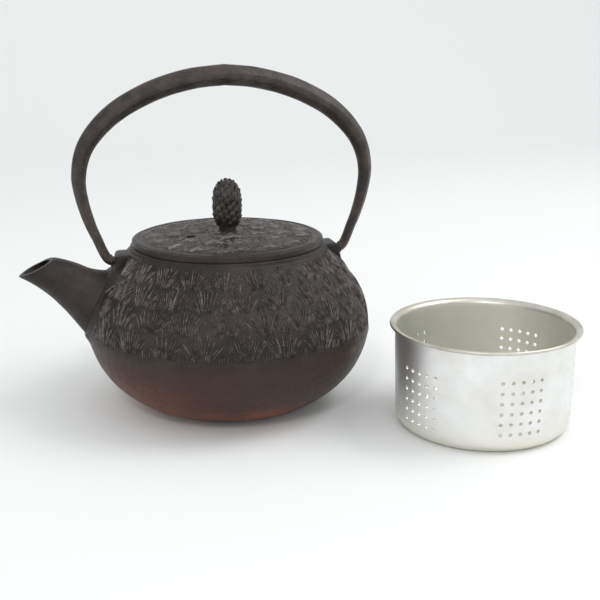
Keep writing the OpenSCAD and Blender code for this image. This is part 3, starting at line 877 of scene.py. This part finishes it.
collars = [rod(s * (HOOK_X - 0.5), s * (HOOK_X + 0.4), 2.9, PIN_Z) for s in (-1, 1)]
bail = piece("bail_bar", [capped(bar)] + pins + collars, "handle", bail_iron)
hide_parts("bail_handle")

# %% Washer under the lid
washer_steel, tree, shader = principled("washer steel")
shader.inputs["Base Color"].default_value = (0.42, 0.40, 0.38, 1)
shader.inputs["Metallic"].default_value = 1.0
shader.inputs["Roughness"].default_value = 0.42
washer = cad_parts["knob_washer"]
washer.data.materials.clear()
washer.data.materials.append(washer_steel)
print("washer:", washer_steel.name)

# %% [markdown]
# ## The infuser basket
#
# The basket is pressed from thin aluminium sheet, so it has an outer and an
# inner skin one sheet apart. The wall is laid out in cells. A plain cell is a
# small grid, and a punched cell is a ring of quads from its square border to
# a round hole. Both have the same points on their borders, so they weld.

# %% Basket sizes
BASKET_AT = (basket_lo[:2] + basket_hi[:2]) / 2
BASKET_H = basket_hi[2]
SHEET, CORNER, FLARE_Z = 1.0, 6.5, BASKET_H - 2.6
WALL_R = BASKET_R - 2.5
HOLE_R, COLS, ROWS_OF_HOLES, ROW_PITCH, ROW_Z = 0.9, 5, 6, 4.85, 9.3
COL_STEP = math.degrees(4.6 / (WALL_R - (1 - BASKET_H / 2 / FLARE_Z)))
PATCHES = (-90, -25, 40, 124, 203)
PATCH_LIFT = (0.5, 0.5, 0.5, 0.2, -0.5)


def wall_radius(z):
    """Outer radius of the wall: it tapers by one millimetre from the flare to the floor."""
    return WALL_R - (1 - z / FLARE_Z)


def wall_point(turn, z, depth):
    """Point of the wall at an angle in degrees and a height, `depth` in from the outside."""
    r = wall_radius(z) - depth
    return np.stack([r * np.cos(np.radians(turn)), r * np.sin(np.radians(turn)), z + 0 * turn], -1)


# %% Lay out the cells of the wall
PER = 4
borders, punched, lifts = [], [], []
for start, following, patch_lift in zip(PATCHES, PATCHES[1:] + (PATCHES[0] + 360,), PATCH_LIFT):
    first = start - COL_STEP * COLS / 2
    gap_end = following - COL_STEP * COLS / 2
    gap_start = first + COL_STEP * COLS
    gaps = max(1, round((gap_end - gap_start) / COL_STEP))
    borders += [first + COL_STEP * i for i in range(COLS)]
    borders += [gap_start + (gap_end - gap_start) * i / gaps for i in range(gaps)]
    punched += [True] * COLS + [False] * gaps
    lifts += [patch_lift] * (COLS + gaps)
borders = np.array(borders + [borders[0] + 360])
punched = np.array(punched)
levels = np.array([CORNER] + [ROW_Z + ROW_PITCH * (j + 0.5) for j in range(ROWS_OF_HOLES)]
                  + [41.5, FLARE_Z])
AROUND = PER * len(punched)
turns = np.interp(np.arange(AROUND + 1) / PER, np.arange(len(borders)), borders)
print("basket:", len(punched), "columns of cells,", int(punched.sum()) * ROWS_OF_HOLES, "holes")


# %% Quads of the wall, one skin at a time
def round_square(half, steps):
    """Points round the border of a square, with `steps` to a side, anticlockwise from a corner."""
    side = np.linspace(-half, half, steps, endpoint=False)
    far = 0 * side + half
    sides = (side, -far), (far, side), (-side, far), (-far, -side)
    return np.concatenate([np.stack(xy, -1) for xy in sides])


SQUARE = round_square(1, PER)
CIRCLE = SQUARE / np.linalg.norm(SQUARE, axis=1, keepdims=True)


def wall_skin(depth):
    """Plain cells, and punched cells with their hole's rim, of the skin that lies `depth` in."""
    plain, rims = [], []
    for j, (z0, z1) in enumerate(zip(levels[:-1], levels[1:])):
        for i, (t0, t1) in enumerate(zip(borders[:-1], borders[1:])):
            if punched[i] and j < ROWS_OF_HOLES:
                turn = (t0 + t1) / 2 + SQUARE[:, 0] * (t1 - t0) / 2
                z = (z0 + z1) / 2 + SQUARE[:, 1] * (z1 - z0) / 2
                middle_z = ROW_Z + lifts[i] + j * ROW_PITCH
                hole_turn = (t0 + t1) / 2 + np.degrees(CIRCLE[:, 0] * HOLE_R / wall_radius(middle_z))
                hole_z = middle_z + CIRCLE[:, 1] * HOLE_R
                outer, rim = wall_point(turn, z, depth), wall_point(hole_turn, hole_z, depth)
                plain.append(quads_of(np.stack([outer, rim]), wrap_v=True))
                rims.append(rim)
            else:
                turn, z = np.meshgrid(np.linspace(t0, t1, PER + 1), np.linspace(z0, z1, PER + 1),
                                      indexing="ij")
                plain.append(quads_of(wall_point(turn, z, depth)))
    return np.concatenate(plain), np.stack(rims)


outer_skin, outer_rims = wall_skin(0)
inner_skin, inner_rims = wall_skin(SHEET)
hole_walls = np.concatenate([quads_of(np.stack([a, b]), wrap_v=True)
                             for a, b in zip(outer_rims, inner_rims)])
print("wall:", len(outer_skin), "quads a skin,", len(outer_rims), "holes")

# %% [markdown]
# ## The basket's floor, corner and lip
#
# The corner and the rolled lip are profiles turned through the same angles as
# the wall's cells, so that they weld to it. The floor has a square patch of
# holes in the middle, made from the same kind of cell, and a skirt of
# triangles takes its border out to the corner.

# %% Corner and lip
def turned_by(radius, height, angles):
    """Profile turned through the given angles in degrees."""
    a = np.radians(angles)[:, None]
    return np.stack([radius * np.cos(a), radius * np.sin(a), height + 0 * a], -1)


low_r = wall_radius(CORNER)
bend = np.radians(np.linspace(0, -90, 8))
FLOOR_R = low_r - CORNER
outer_corner = turned_by(FLOOR_R + CORNER * np.cos(bend), CORNER + CORNER * np.sin(bend), turns)
inner_corner = turned_by(FLOOR_R + (CORNER - SHEET) * np.cos(bend),
                         CORNER + (CORNER - SHEET) * np.sin(bend), turns)
LIP = 0.75
roll = np.radians(np.linspace(-75, 105, 9))
lip_r = np.concatenate([[WALL_R, WALL_R + 0.08, WALL_R + 0.3, WALL_R + 0.8],
                        BASKET_R - LIP + LIP * np.cos(roll),
                        [WALL_R + 0.5, WALL_R - 0.4, WALL_R - 0.85, WALL_R - SHEET]])
lip_z = np.concatenate([[FLARE_Z, FLARE_Z + 0.35, FLARE_Z + 0.65, FLARE_Z + 0.95],
                        BASKET_H - LIP + LIP * np.sin(roll),
                        [BASKET_H - 0.45, BASKET_H - 1.0, FLARE_Z + 0.7, FLARE_Z]])
lip = quads_of(turned_by(lip_r, lip_z, turns))
print("lip:", len(lip), "quads, rolled to", round(BASKET_R, 1), "mm from the basket's axis")


# %% Floor
FLOOR_CELLS, FLOOR_PITCH = 5, 5.0


def floor_skin(z, angles):
    """Square patch of punched cells at height z, and the skirt from its border to the corner."""
    half = FLOOR_CELLS * FLOOR_PITCH / 2
    at = (np.arange(FLOOR_CELLS) + 0.5) * FLOOR_PITCH - half
    cx, cy = (a.ravel() for a in np.meshgrid(at, at, indexing="ij"))
    middle = np.stack([cx, cy], -1)[:, None]
    border = middle + SQUARE * FLOOR_PITCH / 2
    rim = middle + CIRCLE * HOLE_R
    lift = np.array([0, 0, z])
    rings = np.stack([border, rim], 1)
    rings = np.concatenate([rings, np.zeros(rings.shape[:3] + (1,))], -1) + lift
    cells = np.concatenate([quads_of(r, wrap_v=True) for r in rings])
    square = round_square(half, PER * FLOOR_CELLS)
    square = np.concatenate([square, np.full((len(square), 1), z)], 1)
    circle = turned_by(np.array([FLOOR_R]), z, angles[:-1])[:, 0]
    square, circle = (p[np.argsort(np.arctan2(p[:, 1], p[:, 0]))] for p in (square, circle))
    inner = np.round(np.arange(len(circle) + 1) * len(square) / len(circle)).astype(int) % len(square)
    skirt = np.stack([square[inner[:-1]], circle, np.roll(circle, -1, 0), square[inner[1:]]], 1)
    return cells, skirt, rings[:, 1]


under_cells, under_skirt, under_rims = floor_skin(0.0, turns)
upper_cells, upper_skirt, upper_rims = floor_skin(SHEET, turns)
floor_walls = np.concatenate([quads_of(np.stack([a, b]), wrap_v=True)
                              for a, b in zip(under_rims, upper_rims)])
print("floor skirt:", len(under_skirt), "quads")


# %% [markdown]
# ## Satin aluminium
#
# Bare spun aluminium is a bright metal with a soft, slightly cloudy shine. Use
# has left it duller in patches and a little yellow, mostly near the floor.

# %% Aluminium
def aluminium(name, bright, dull, roughness):
    """Bright metal with cloudy roughness and a faint warm tarnish."""
    material, tree, shader = principled(name)
    clouds = cloud(tree, 45.0)
    color = ramp(tree, clouds, 0.35, 0.7, bright, dull)
    color = mix(tree, times(tree, masked(tree, "Z", 0.002, 0.016), 0.6), color, (0.78, 0.75, 0.65, 1))
    tree.links.new(color, shader.inputs["Base Color"])
    rough = remap(tree, clouds, 0.3, 0.7, roughness, roughness + 0.14)
    tree.links.new(rough, shader.inputs["Roughness"])
    shader.inputs["Metallic"].default_value = 1.0
    scratches = cloud(tree, 260.0, 2.0, 0.5)
    tree.links.new(raised(tree, scratches, 0.06), shader.inputs["Normal"])
    return material


basket_quads = np.concatenate([
    outer_skin, hole_walls, inner_skin, quads_of(outer_corner), quads_of(inner_corner), lip,
    under_cells, under_skirt, upper_cells, upper_skirt, floor_walls]) + np.array([*BASKET_AT, 0])
satin = aluminium("satin aluminium", (0.88, 0.89, 0.89, 1), (0.77, 0.76, 0.73, 1), 0.38)
dulled = aluminium("dulled inside", (0.86, 0.86, 0.82, 1), (0.77, 0.77, 0.72, 1), 0.34)
rubbed = aluminium("rubbed lip", (0.72, 0.71, 0.66, 1), (0.50, 0.46, 0.38, 1), 0.34)
basket = piece("basket_shell", [basket_quads], "infuser", satin, 35)
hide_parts("infuser_basket")
faces = np.zeros(len(basket.data.polygons) * 3, np.float32)
basket.data.polygons.foreach_get("center", faces)
faces = faces.reshape(-1, 3) / MM - np.array([*BASKET_AT, 0])
in_cup = (np.hypot(faces[:, 0], faces[:, 1]) < WALL_R - 0.5 * SHEET - (1 - faces[:, 2] / FLARE_Z)) \
    & (faces[:, 2] > 0.5 * SHEET)
on_lip = faces[:, 2] > FLARE_Z + 0.3
basket.data.materials.append(dulled)
basket.data.materials.append(rubbed)
basket.data.polygons.foreach_set("material_index", np.where(on_lip, 2, in_cup).astype(np.int32))
print("faces inside the cup:", int(in_cup.sum()), "of", len(in_cup))

# %% [markdown]
# ## Floor, light and camera
#
# A pale sweep of paper runs under the pieces and curves up behind them. The
# room's own light is even and strong. One broad lamp to the right gives soft
# shadows, and a small weak one in front puts a glint on the relief and the
# handle. The camera looks down a little, from above the top of the handle.


# %% Stage
def sweep():
    """Flat floor that bends up into a backdrop: straight, quarter circle, straight."""
    bend = np.radians(np.linspace(0, 90, 12))
    y = np.concatenate([[-2500, 900], 900 + 700 * np.sin(bend), [1600]])
    z = np.concatenate([[0, 0], 700 - 700 * np.cos(bend), [3000]])
    x = np.linspace(-3500, 3500, 3)
    return np.stack([x[:, None] + 0 * y, y + 0 * x[:, None], z + 0 * x[:, None]], -1)


paper, tree, shader = principled("paper")
shader.inputs["Base Color"].default_value = (0.86, 0.87, 0.865, 1)
shader.inputs["Roughness"].default_value = 0.9
stage_floor = piece("paper_sweep", [quads_of(sweep())], None, paper)


def lamp(name, place, target, size, power, tone=(1, 1, 1)):
    """A square soft lamp at a place, turned to its target; metres and watts."""
    light = bpy.data.lights.new(name, "AREA")
    light.size, light.energy, light.color = size, power, tone
    obj = bpy.data.objects.new(name, light)
    obj.location = place
    obj.rotation_euler = (Vector(target) - Vector(place)).to_track_quat("-Z", "Y").to_euler()
    bpy.context.scene.collection.objects.link(obj)


lamp("key", (0.75, -0.20, 0.95), (0, 0, 0.04), 0.6, 4.7)
lamp("spark", (-0.34, -0.85, 0.74), (0, 0, 0.05), 0.12, 1.7)
bpy.context.scene.view_settings.view_transform = "Standard"
world = bpy.data.worlds.new("room")
world.use_nodes = True
world.node_tree.nodes["Background"].inputs["Color"].default_value = (0.968, 0.978, 0.985, 1)
world.node_tree.nodes["Background"].inputs["Strength"].default_value = 0.91
bpy.context.scene.world = world

# %% Camera
HEADING, PITCH, ROLL = math.radians(14.23), math.radians(15.74), math.radians(-0.22)
camera = bpy.data.objects.new("camera", bpy.data.cameras.new("camera"))
camera.data.lens, camera.data.sensor_width = 60.66, 36.0
camera.location = (-0.0851, -0.4789, 0.1870)
turn = Matrix.Rotation(-HEADING, 3, "Z") @ Matrix.Rotation(math.pi / 2 - PITCH, 3, "X") \
    @ Matrix.Rotation(ROLL, 3, "Z")
camera.rotation_euler = turn.to_euler()
camera.data.clip_start, camera.data.clip_end = 0.01, 20
bpy.context.scene.collection.objects.link(camera)
bpy.context.scene.camera = camera
print("camera", round(math.degrees(PITCH), 1), "degrees down, lens", round(camera.data.lens, 1), "mm")
